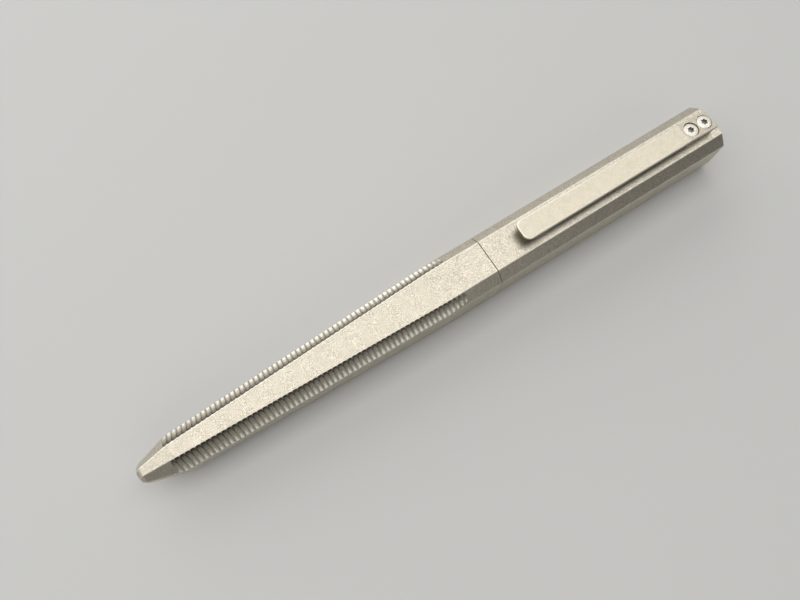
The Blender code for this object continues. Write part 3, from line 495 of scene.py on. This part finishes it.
# Outline of the front barrel as (station, width, facet, wear), from the mouth to the seam.
def frontSections():
    length = seamMiddle - barrel["seamGap"] / 2
    small = barrel["edge"]
    rim = barrel["rimWear"]
    outline = [
        (0.0, barrel["mouthAcross"] - 2 * small, barrel["mouthFacet"] - small, rim),
        (small, barrel["mouthAcross"], barrel["mouthFacet"], rim),
        (barrel["lipStation"] - small, barrel["lipAcross"] - small,
         barrel["lipFacet"] - small / 2, rim),
    ]
    for station in (barrel["lipStation"] + small, barrel["lipStation"] + 3 * small):
        outline.append((station,) + tapered(station) + (0.0,))
    spread = []
    step = flutes["pitch"] / flutes["columns"]
    first = barrel["noseStation"] - flutes["lead"]
    station = first - flutes["pitch"]
    last = first + flutes["count"] * flutes["pitch"]
    while station < last:
        spread.append(station)
        station += step
    spread += [barrel["noseStation"], taperStation]
    for station in sorted(spread):
        outline.append((station,) + tapered(station) + (0.0,))
    narrowed = 2 * barrel["endBreak"]
    outline += [
        (length - barrel["endBreak"] - small, across, barrel["facet"], 0.0),
        (length - barrel["endBreak"], across, barrel["facet"], rim),
        (length, across - narrowed, barrel["facet"] - narrowed / sqrt(2), rim),
    ]
    return outline


# The same for the rear barrel, from the seam to the tail.
def rearSections():
    start = seamMiddle + barrel["seamGap"] / 2
    end = rearHigh.x - mouthX
    small = barrel["edge"]
    rim, tail = barrel["rimWear"], barrel["tailWear"]
    narrowed = 2 * barrel["endBreak"]
    tailNarrowed = 2 * barrel["tailBreak"]
    return [
        (start, across - narrowed, barrel["facet"] - narrowed / sqrt(2), rim),
        (start + barrel["endBreak"], across, barrel["facet"], rim),
        (start + barrel["endBreak"] + small, across, barrel["facet"], 0.0),
        (end - barrel["tailBreak"] - small, across, barrel["facet"], 0.0),
        (end - barrel["tailBreak"], across, barrel["facet"], tail),
        (end, across - tailNarrowed, barrel["facet"] - tailNarrowed / sqrt(2), tail),
    ]


# Wraps a grid over one quarter of a barrel, outside then inside, and mirrors it twice.
def wrapBarrel(outline, bores, cutFlutes):
    columns = [octagonQuarter(width, facet) + (station, rim)
               for station, width, facet, rim in outline]
    widest = outline[-1][1:3]
    columns += [roundQuarter(diameter, *widest) + (station, 0.0) for station, diameter in bores]
    count = len(columns[0][0])
    slopeStart = len(rows["flat"]) + 2             # row where the sloping facet starts
    slopeTop = range(slopeStart, slopeStart + 1 + rows["slope"] // 2)
    bm = bmesh.new()
    wornAndLit = bm.verts.layers.float.new("wear_and_highlight")
    shadePaint = bm.verts.layers.float.new("painted_shade")
    bmesh.ops.create_grid(bm, x_segments=len(columns), y_segments=count - 1, size=0.5)
    for vert in bm.verts:
        column = round((vert.co.x + 0.5) * len(columns)) % len(columns)
        row = round((vert.co.y + 0.5) * (count - 1))
        points, wear_and_highlight, station, rim = columns[column]
        point = points[row].copy()
        vert[wornAndLit] = max(wear_and_highlight[row], rim)
        if cutFlutes and column < len(outline):
            drop = (point.x - point.y) / sqrt(2)
            floor, reach, painted_shade, rubbedAndLit = fluteFloor(station, drop)
            sunk = floor - (reach - (point.x + point.y) / sqrt(2))
            # Painted shade on the flutes' top ends and ridges, and a painted highlight on their
            # lower ends.
            if fluted(station) and row in slopeTop:
                vert[shadePaint] = painted_shade * min(1, max(0, 1 + sunk / flutes["shadeFade"]))
            if sunk > 0:
                point -= Vector((1, 1)) * sunk / sqrt(2)
                vert[wornAndLit] = rubbedAndLit
                vert[shadePaint] = painted_shade
        vert.co = (mouthX + station, point.x, point.y)
    bmesh.ops.remove_doubles(bm, verts=bm.verts, dist=weld)
    for axis in ('Y', 'Z'):
        everything = bm.verts[:] + bm.edges[:] + bm.faces[:]
        bmesh.ops.mirror(bm, geom=everything, axis=axis, merge_dist=weld)
    bmesh.ops.remove_doubles(bm, verts=bm.verts, dist=weld)
    bmesh.ops.translate(bm, verts=bm.verts, vec=(0, 0, axisZ))
    bmesh.ops.recalc_face_normals(bm, faces=bm.faces)
    return bm


def makeFrontBarrel():
    length = frontHigh.x - mouthX
    socket = length - barrel["socketDepth"]
    bores = [
        (seamMiddle - barrel["seamGap"] / 2, barrel["socketBore"]),
        (socket, barrel["socketBore"]), (socket, barrel["refillBore"]),
        (barrel["refillStation"], barrel["refillBore"]),
        (barrel["refillStation"], barrel["springBore"]),
        (barrel["springSeat"], barrel["springBore"]), (barrel["springSeat"], barrel["tipBore"]),
        (barrel["mouthLand"], barrel["tipBore"]), (barrel["mouthLand"], barrel["mouthBore"]),
        (0.0, barrel["mouthBore"]),
    ]
    bm = wrapBarrel(frontSections(), bores, True)
    piece = addPiece(bm, "frontBarrelShell", "front", tumbledTitanium,
                     "front_barrel")
    finishShading(piece, barrel["sharpAngle"])


def makeRearBarrel():
    start = rearLow.x - mouthX
    end = rearHigh.x - mouthX
    boreEnd = start + barrel["rearBoreDepth"]
    bores = [(end, 0.0), (boreEnd, 0.0), (boreEnd, barrel["rearBore"]),
             (seamMiddle + barrel["seamGap"] / 2, barrel["rearBore"])]
    bm = wrapBarrel(rearSections(), bores, False)
    loose = [edge for edge in bm.edges if not edge.link_faces]
    bmesh.ops.delete(bm, geom=loose, context='EDGES')
    piece = addPiece(bm, "rearBarrelShell", "rear", tumbledTitanium,
                     "rear_barrel")
    holes = []
    for node in screwNames:
        low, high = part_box(node)
        depth = rearHigh.z - low.z + 2 * screw["clearance"]
        holes.append(barCutter("tappedHole", screw["shank"] + 2 * screw["clearance"],
                               (low.x + high.x) / 2, low.z - screw["clearance"], depth))
    cutWith(piece, holes)
    finishShading(piece, barrel["sharpAngle"])


# Clip: one outline, extruded across, with rounded corners and edges, and a foot below its pad.
clip = {
    "thickness": 1.4 * mm,
    "endFace": 0.9 * mm,           # upright face at the free end
    "bumpLead": 1.9 * mm, "bumpFlat": 2.5 * mm, "bumpRise": 1.6 * mm,
    "padLength": 8.3 * mm, "padDrop": 0.7 * mm,
    "undercut": 0.6 * mm, "footLead": 0.3 * mm, "footInset": 0.2 * mm,
    "corner": 1.5 * mm, "tailCorner": 0.3 * mm,
    "knee": 0.35 * mm,             # round bends under the arm
    "topEdge": 0.26 * mm, "underEdge": 0.08 * mm,
    "topAngle": radians(50), "underAngle": radians(38),   # edges sharper than these are rounded
    "topWear": 1.0, "underWear": 0.25,
    "upright": 0.3,                # a face that looks up less than this is a side
    "sideShade": 0.85,             # painted shade on the sides
    "counterbore": 3.6 * mm,
    "sharpAngle": radians(35),
}
screw = {
    "head": 3.4 * mm, "headHeight": 0.8 * mm, "dome": 0.09 * mm, "rim": 0.06 * mm,
    "flatShare": 0.4, "domePower": 2.4,            # a flat middle, and a fall towards the rim
    "shank": 1.9 * mm, "clearance": 0.15 * mm,
    "recess": 1.6 * mm, "recessDepth": 0.6 * mm, "lobes": 6, "lobeDepth": 0.14,
    "recessShade": 0.7,            # painted shade on the floor of the recess
    "sharpAngle": radians(40),
}
screwNames = {"clip_screw_1": "clipScrew1", "clip_screw_2": "clipScrew2"}   # node and its piece
steps = {"corner": 10, "knee": 4, "edge": 3, "underEdge": 2, "turn": 64, "lobe": 10, "dome": 8}


# Upright round bar, for a hole.
def barCutter(name, diameter, x, low, length):
    bm = bmesh.new()
    bmesh.ops.create_cone(bm, cap_ends=True, segments=steps["turn"], radius1=diameter / 2,
                          radius2=diameter / 2, depth=length,
                          matrix=Matrix.Translation((x, 0, low + length / 2)))
    return makeObject(bm, name)


# Solid from (x, z) points, extruded across the pen.
def extruded(outline, width):
    bm = bmesh.new()
    side = bm.faces.new([bm.verts.new((x, -width / 2, z)) for x, z in outline])
    swept = bmesh.ops.extrude_face_region(bm, geom=[side])
    far = [item for item in swept["geom"] if isinstance(item, bmesh.types.BMVert)]
    bmesh.ops.translate(bm, verts=far, vec=(0, width, 0))
    bmesh.ops.recalc_face_normals(bm, faces=bm.faces)
    return bm


# Whether an edge runs across the pen.
def crosswise(edge):
    return abs(edge.verts[0].co.y - edge.verts[1].co.y) > weld


# The bend between arm and pad is only a few degrees, and still a crisp line.
def creaseBend(mesh, x, top):
    sharp = mesh.attributes.get("sharp_edge")
    if not sharp:
        sharp = mesh.attributes.new("sharp_edge", 'BOOLEAN', 'EDGE')
    for edge in mesh.edges:
        ends = [mesh.vertices[i].co for i in edge.vertices]
        if all(abs(end.x - x) < 10 * weld for end in ends) \
                and min(end.z for end in ends) > top - clip["topEdge"] - weld:
            sharp.data[edge.index].value = True


def makeClip():
    x0, x1 = clipLow.x, clipHigh.x
    top, low = clipHigh.z, clipLow.z
    arm = top - clip["thickness"]
    bump = x0 + clip["bumpLead"]
    bumpEnd = bump + clip["bumpFlat"] + clip["bumpRise"]
    width = clipHigh.y - clipLow.y
    outline = [
        (x0, top), (x0, top - clip["endFace"]), (bump, low), (bump + clip["bumpFlat"], low),
        (bumpEnd, arm), (x1, arm), (x1, top - clip["padDrop"]), (x1 - clip["padLength"], top),
    ]
    bm = extruded(outline, width)
    corners = [edge for edge in bm.edges if not crosswise(edge)
               and max(vert.co.x for vert in edge.verts) <= bump + weld]
    roundEdges(bm, corners, clip["corner"], steps["corner"])
    tail = [edge for edge in bm.edges if not crosswise(edge)
            and min(vert.co.x for vert in edge.verts) >= x1 - weld]
    roundEdges(bm, tail, clip["tailCorner"], steps["edge"])
    knees = [edge for edge in bm.edges if edge.calc_length() > width - weld
             and min(vert.co.x for vert in edge.verts) > bump + weld
             and max(vert.co.x for vert in edge.verts) < bumpEnd + weld
             and max(vert.co.z for vert in edge.verts) < arm + weld]
    roundEdges(bm, knees, clip["knee"], steps["knee"])
    wornAndLit = bm.faces.layers.float.new("wear_and_highlight")
    shadePaint = bm.faces.layers.float.new("painted_shade")
    # Painted shade: faces that look sideways or down get a darker colour.
    for face in bm.faces:
        if face.normal.z < clip["upright"]:
            face[shadePaint] = clip["sideShade"]
    upper = [edge for edge in edgesOver(bm, clip["topAngle"])
             if min(vert.co.z for vert in edge.verts) > top - clip["padDrop"] - weld]
    for face in roundEdges(bm, upper, clip["topEdge"], steps["edge"]):
        face[wornAndLit] = clip["topWear"]
        face[shadePaint] = 0.0
    # Rounded lower edges: a little wear, and half the sides' painted shade.
    under = edgesOver(bm, clip["underAngle"])
    for face in roundEdges(bm, under, clip["underEdge"], steps["underEdge"]):
        face[wornAndLit] = clip["underWear"]
        face[shadePaint] = clip["sideShade"] / 2
    piece = addPiece(bm, "pocketClip", "rear", tumbledClipTitanium, "pocket_clip")

    footEnd = x1 - clip["undercut"]
    footStart = x1 - clip["padLength"] + clip["footLead"]
    footTop = arm + clip["thickness"] / 2
    foot = extruded([(footStart, low), (footEnd, low), (footEnd, footTop), (footStart, footTop)],
                    width - 2 * clip["footInset"])
    roundEdges(foot, foot.edges[:], clip["underEdge"], steps["underEdge"])
    cutWith(piece, [makeObject(foot, "clipFoot", tumbledClipTitanium)], 'UNION')
    holes = []
    for node in screwNames:
        boxLow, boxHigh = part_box(node)
        x = (boxLow.x + boxHigh.x) / 2
        holes.append(barCutter("counterbore", clip["counterbore"], x, arm, 2 * clip["thickness"]))
        holes.append(barCutter("clearanceHole", screw["shank"] + 2 * screw["clearance"], x,
                               low - clip["thickness"], 2 * clip["thickness"] + arm - low))
    cutWith(piece, holes)
    finishShading(piece, clip["sharpAngle"])
    creaseBend(piece.data, x1 - clip["padLength"], top)


# Clip screws: button heads turned on Z, with a six-lobed recess.
def makeScrew(node):
    low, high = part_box(node)
    x = (low.x + high.x) / 2
    crown, end = high.z, low.z
    seat = crown - screw["headHeight"]
    half = screw["head"] / 2
    profile = [(0, crown)]
    for i in range(1, steps["dome"] + 1):
        share = i / steps["dome"]
        spread = between(screw["flatShare"], 1, share)
        profile.append((half * spread - screw["rim"],
                        crown - screw["dome"] * share ** screw["domePower"]))
    profile += [
        (half, crown - screw["dome"] - screw["rim"]), (half, seat + screw["rim"]),
        (half - screw["rim"], seat),
        (screw["shank"] / 2, seat), (screw["shank"] / 2, end + screw["clearance"]),
        (screw["shank"] / 2 - screw["clearance"], end), (0, end),
    ]
    bm = bmesh.new()
    line = [bm.verts.new((radius, 0, z)) for radius, z in profile]
    edges = [bm.edges.new(pair) for pair in zip(line, line[1:])]
    bmesh.ops.spin(bm, geom=line + edges, cent=(0, 0, 0), axis=(0, 0, 1), angle=2 * pi,
                   steps=steps["turn"], use_merge=True)
    bmesh.ops.remove_doubles(bm, verts=bm.verts, dist=weld)
    bmesh.ops.recalc_face_normals(bm, faces=bm.faces)
    bmesh.ops.translate(bm, verts=bm.verts, vec=(x, 0, 0))
    piece = addPiece(bm, screwNames[node], "rear", satinScrewSteel, node)

    recess = bmesh.new()
    bmesh.ops.create_circle(recess, cap_ends=True, segments=screw["lobes"] * steps["lobe"],
                            radius=1)
    for vert in recess.verts:
        angle = Vector((1, 0)).angle_signed(vert.co.xy)
        wave = 1 - cos(screw["lobes"] * angle)
        radius = screw["recess"] / 2 * (1 - screw["lobeDepth"] * wave)
        vert.co = (x + vert.co.x * radius, vert.co.y * radius, crown - screw["recessDepth"])
    swept = bmesh.ops.extrude_face_region(recess, geom=recess.faces[:])
    raised = [item for item in swept["geom"] if isinstance(item, bmesh.types.BMVert)]
    bmesh.ops.translate(recess, verts=raised, vec=(0, 0, 2 * screw["recessDepth"]))
    bmesh.ops.recalc_face_normals(recess, faces=recess.faces)
    cutWith(piece, [makeObject(recess, "recessCutter", satinScrewSteel)])
    # Painted shade: a darker colour down in the recess.
    shadePaint = piece.data.attributes.new("painted_shade", 'FLOAT', 'POINT')
    floor = crown - screw["recessDepth"] / 2
    for vert in piece.data.vertices:
        aside = (vert.co.xy - Vector((x, 0))).length
        if seat - weld < vert.co.z < floor and aside < screw["recess"] / 2 + weld:
            shadePaint.data[vert.index].value = screw["recessShade"]
    finishShading(piece, screw["sharpAngle"])


# Return spring: one coil from its seat to the refill's shoulder.
spring = {
    "wire": 0.36 * mm, "diameter": 4.1 * mm, "turns": 7,
    "stroke": 5.2 * mm,            # travel of the refill
    "wireSides": 12, "turnSteps": 32,
    "sharpAngle": radians(60),
}


def makeSpring():
    low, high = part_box("return_spring")
    length = high.x - low.x
    count = spring["turns"] * spring["turnSteps"]
    pitchStep = (length - spring["wire"]) / count
    bm = bmesh.new()
    place = Matrix.Translation((low.x + spring["wire"] / 2, spring["diameter"] / 2, 0))
    made = bmesh.ops.create_circle(bm, cap_ends=False, segments=spring["wireSides"],
                                   radius=spring["wire"] / 2, matrix=place)
    ends = bm.edges[:]
    swept = bmesh.ops.spin(bm, geom=made["verts"] + ends, cent=(0, 0, 0), axis=(1, 0, 0),
                           dvec=(pitchStep, 0, 0), angle=2 * pi * spring["turns"], steps=count)
    ends += [item for item in swept["geom_last"] if isinstance(item, bmesh.types.BMEdge)]
    bmesh.ops.holes_fill(bm, edges=ends, sides=0)
    bmesh.ops.recalc_face_normals(bm, faces=bm.faces)
    bmesh.ops.translate(bm, verts=bm.verts, vec=(0, 0, axisZ))
    piece = addPiece(bm, "returnSpring", "front", springSteel, "return_spring")
    finishShading(piece, spring["sharpAngle"])
    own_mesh(piece)


# Refill tip, which comes out of the mouth: a turned point crimped round its ball, a straight
# neck, a cone and the shoulder that the spring pushes on.
tip = {
    "rimBore": 0.66 * mm, "socket": 0.78 * mm, "crimp": 0.08 * mm, "socketDepth": 0.54 * mm,
    "point": 1.0 * mm, "pointLength": 1.8 * mm,
    "neck": 2.3 * mm, "neckEnd": 7.2 * mm,
    "cone": 3.2 * mm, "shoulderStation": 11.3 * mm,
    "shoulder": 5.85 * mm, "shoulderEnd": 12.3 * mm,
    "plug": 4.99 * mm, "inkBore": 0.6 * mm,
    "edge": 0.05 * mm,
    "ringAngle": radians(15),      # rings sharper than this are rounded
    "sharpAngle": radians(35),
}


def makeRefillTip():
    low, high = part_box("refill_tip")
    length = high.x - low.x
    profile = [
        (0, tip["point"]), (tip["pointLength"], tip["neck"]), (tip["neckEnd"], tip["neck"]),
        (tip["shoulderStation"], tip["cone"]), (tip["shoulderStation"], tip["shoulder"]),
        (tip["shoulderEnd"], tip["shoulder"]), (tip["shoulderEnd"], tip["plug"]),
        (length, tip["plug"]), (length, tip["inkBore"]), (tip["socketDepth"], tip["inkBore"]),
        (tip["socketDepth"], tip["socket"]), (tip["crimp"], tip["socket"]), (0, tip["rimBore"]),
    ]
    bm = bmesh.new()
    line = [bm.verts.new((low.x + station, 0, diameter / 2)) for station, diameter in profile]
    edges = [bm.edges.new(pair) for pair in zip(line, line[1:] + line[:1])]
    bmesh.ops.spin(bm, geom=line + edges, cent=(0, 0, 0), axis=(1, 0, 0), angle=2 * pi,
                   steps=steps["turn"], use_merge=True)
    bmesh.ops.remove_doubles(bm, verts=bm.verts, dist=weld)
    bmesh.ops.recalc_face_normals(bm, faces=bm.faces)
    rings = [edge for edge in edgesOver(bm, tip["ringAngle"])
             if abs(edge.verts[0].co.x - edge.verts[1].co.x) < weld
             and min(vert.co.yz.length for vert in edge.verts) > tip["point"] / 2 - weld]
    roundEdges(bm, rings, tip["edge"], steps["edge"])
    bmesh.ops.translate(bm, verts=bm.verts, vec=(0, 0, axisZ))
    piece = addPiece(bm, "refillTip", "refill", turnedTipSteel, "refill_tip")
    finishShading(piece, tip["sharpAngle"])


makeFrontBarrel()
print("front barrel milled")
makeRearBarrel()
print("rear barrel turned")
makeClip()
for node in screwNames:
    makeScrew(node)
print("clip and screws made")
makeSpring()
print("spring wound")
makeRefillTip()
print("refill tip turned")

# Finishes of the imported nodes, all others being turned steel.
nodeFinishes = {
    "front_barrel": tumbledTitanium, "rear_barrel": tumbledTitanium,
    "pocket_clip": tumbledClipTitanium,
    "clip_screw_1": satinScrewSteel, "clip_screw_2": satinScrewSteel,
    "cam_sleeve": turnedBrass, "follower": turnedBrass,
    "thrust_washer_1": mouldedAcetal, "thrust_washer_2": mouldedAcetal,
    "friction_ring": mouldedNitrile, "thread_seal_ring": mouldedNitrile,
    "return_spring": springSteel,
    "refill_pad": mouldedNitrile, "refill_cap": mouldedRefillPlastic,
    "refill_tube": drawnRefillSteel, "refill_tip": turnedTipSteel, "writing_ball": groundCarbide,
}
for name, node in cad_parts.items():
    node.data.materials.clear()
    node.data.materials.append(nodeFinishes.get(name, turnedSteel))
print("finishes given")


# Table, light and world
stage = {
    "floor": "#C2C1BE", "floorRoughness": 0.75, "floorSize": 3.0,
    "bright": "#EDEEEF", "dim": "#54585C", "worldStrength": 0.36,
    "brightest": (0.10, 0.55, 0.8),     # where the room is brightest
    "dimFrom": -0.5, "brightFrom": 0.75,            # cosines of the angle from there
}
# A lamp's radiance is what a white card facing it would nearly show; its size is along X and
# across.
lamps = {
    "windowSoftbox": {"direction": (-0.20, 0.92, 0.42), "distance": 0.8, "size": (1.6, 0.62),
                      "radiance": 1.6},
    "topSoftbox": {"direction": (-0.12, 0.14, 1.0), "distance": 0.7, "size": (2.4, 0.62),
                   "radiance": 1.38},
    "fillSoftbox": {"direction": (-0.08, -0.80, 0.60), "distance": 0.8, "size": (0.9, 0.48),
                    "radiance": 0.85},
}


def makeFloor():
    bm = bmesh.new()
    bmesh.ops.create_grid(bm, x_segments=1, y_segments=1, size=stage["floorSize"] / 2)
    paleTable = newMaterial("PaleTable", stage["floor"], 0.0, stage["floorRoughness"])[0]
    makeObject(bm, "floor", paleTable)


def makeLamp(name):
    lamp = lamps[name]
    data = bpy.data.lights.new(name, 'AREA')
    data.shape = 'RECTANGLE'
    data.size, data.size_y = lamp["size"]
    data.energy = lamp["radiance"] * pi * data.size * data.size_y
    holder = bpy.data.objects.new(name, data)
    bpy.context.scene.collection.objects.link(holder)
    towards = Vector(lamp["direction"]).normalized()
    upwards = towards.cross(Vector((1, 0, 0))).normalized()
    sideways = upwards.cross(towards)
    turn = Matrix((sideways, upwards, towards)).transposed().to_4x4()
    holder.matrix_world = Matrix.Translation(towards * lamp["distance"]) @ turn


# The room grows brighter towards one side, as beside a wide window.
def makeWorld():
    world = bpy.data.worlds.new("softRoom")
    world.use_nodes = True
    tree = world.node_tree
    place = addNode(tree, "ShaderNodeTexCoord").outputs["Generated"]
    brightest = Vector(stage["brightest"]).normalized()
    facing = addNode(tree, "ShaderNodeVectorMath", {"operation": 'DOT_PRODUCT', 1: brightest},
                     {0: place})
    share = addNode(tree, "ShaderNodeMapRange",
                    {"From Min": stage["dimFrom"], "From Max": stage["brightFrom"]},
                    {"Value": facing.outputs["Value"]})
    colour = addNode(tree, "ShaderNodeMix",
                     {"data_type": 'RGBA', 6: linear(stage["dim"]), 7: linear(stage["bright"])},
                     {"Factor": share.outputs["Result"]})
    background = tree.nodes["Background"]
    tree.links.new(colour.outputs[2], background.inputs["Color"])
    background.inputs["Strength"].default_value = stage["worldStrength"]
    bpy.context.scene.world = world


makeFloor()
for name in lamps:
    makeLamp(name)
makeWorld()
bpy.context.scene.view_settings.view_transform = 'Standard'
print("table and lights set")
